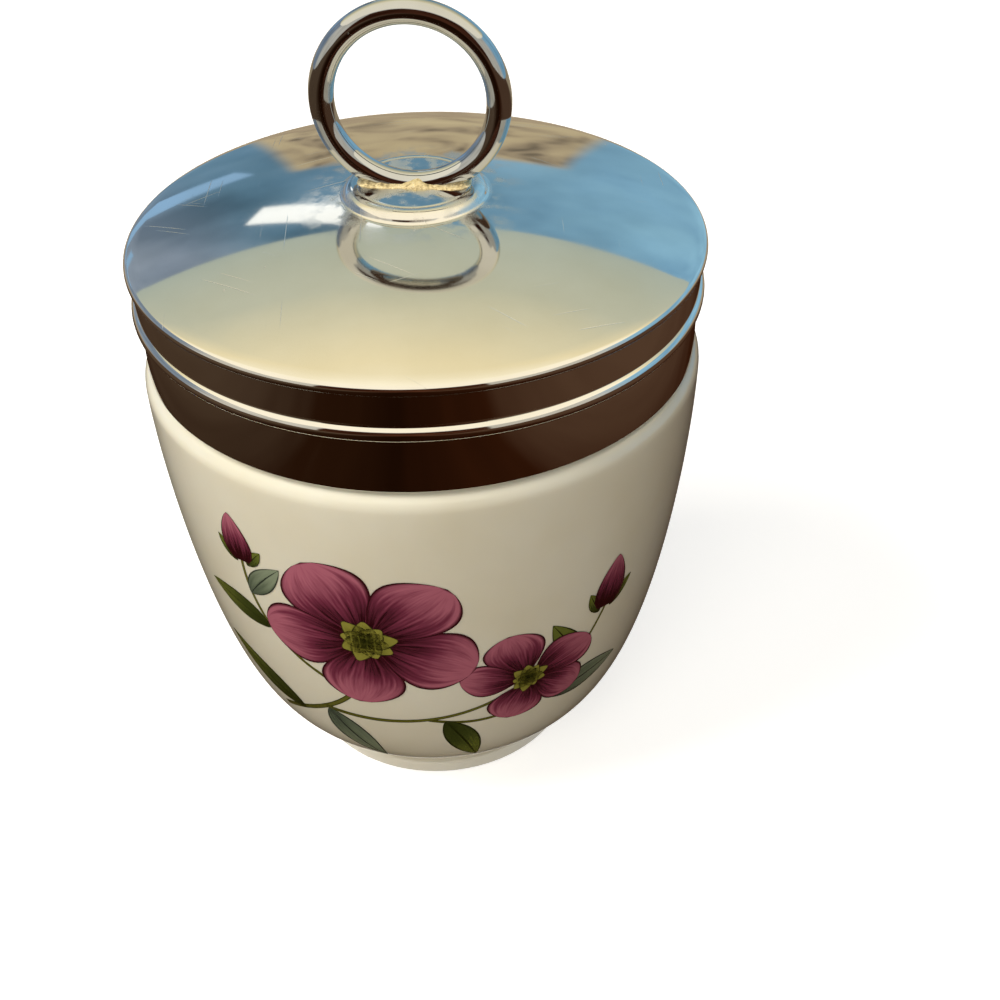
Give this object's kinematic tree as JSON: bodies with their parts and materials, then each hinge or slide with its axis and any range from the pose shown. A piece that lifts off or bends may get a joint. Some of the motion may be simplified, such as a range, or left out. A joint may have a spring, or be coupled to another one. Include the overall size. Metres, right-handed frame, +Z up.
{
  "type": "egg coddler",
  "caption": "Footed porcelain cup for cooking an egg in hot water, with a plated metal screw lid that has a seal, a threaded liner and a lifting ring.",
  "frame": {"origin": "centre of the foot ring, on the table that the cup stands on", "axes": "+Z up along the axis of the cup and its thread, +X in the plane of the lifting ring, +Y through the ring"},
  "size_m": [0.064, 0.064, 0.095],
  "materials": {
    "glazed_porcelain": "clear gloss glaze over cream white bone porcelain",
    "plated_lid": "polished plating with fine wipe marks",
    "liner_metal": "dull rolled metal",
    "seal_rubber": "matt pale food grade rubber",
    "plated_ring": "polished plated wire",
    "braze_alloy": "as run brazing alloy, slightly rough"
  },
  "bodies": {
    "cup": {"cup": "glazed_porcelain"},
    "seal": {"lid_seal": "seal_rubber"},
    "lid": {"lid_shell": "plated_lid", "thread_liner": "liner_metal", "handle_boss": "plated_lid", "ring_handle": "plated_ring", "handle_braze": "braze_alloy"}
  },
  "joints": [
    {"name": "lid_rise", "type": "slide", "parent": "cup", "child": "seal", "axis": [0, 0, 1], "range_m": [0, 0.0141]},
    {"name": "lid_turn", "type": "hinge", "parent": "seal", "child": "lid", "pos_m": [0, 0, 0.063], "axis": [0, 0, 1], "range_deg": [0, 840]}
  ],
  "couplings": [
    {"joint": "lid_rise", "follows": "lid_turn", "m_per_rad": 0.00095493}
  ]
}
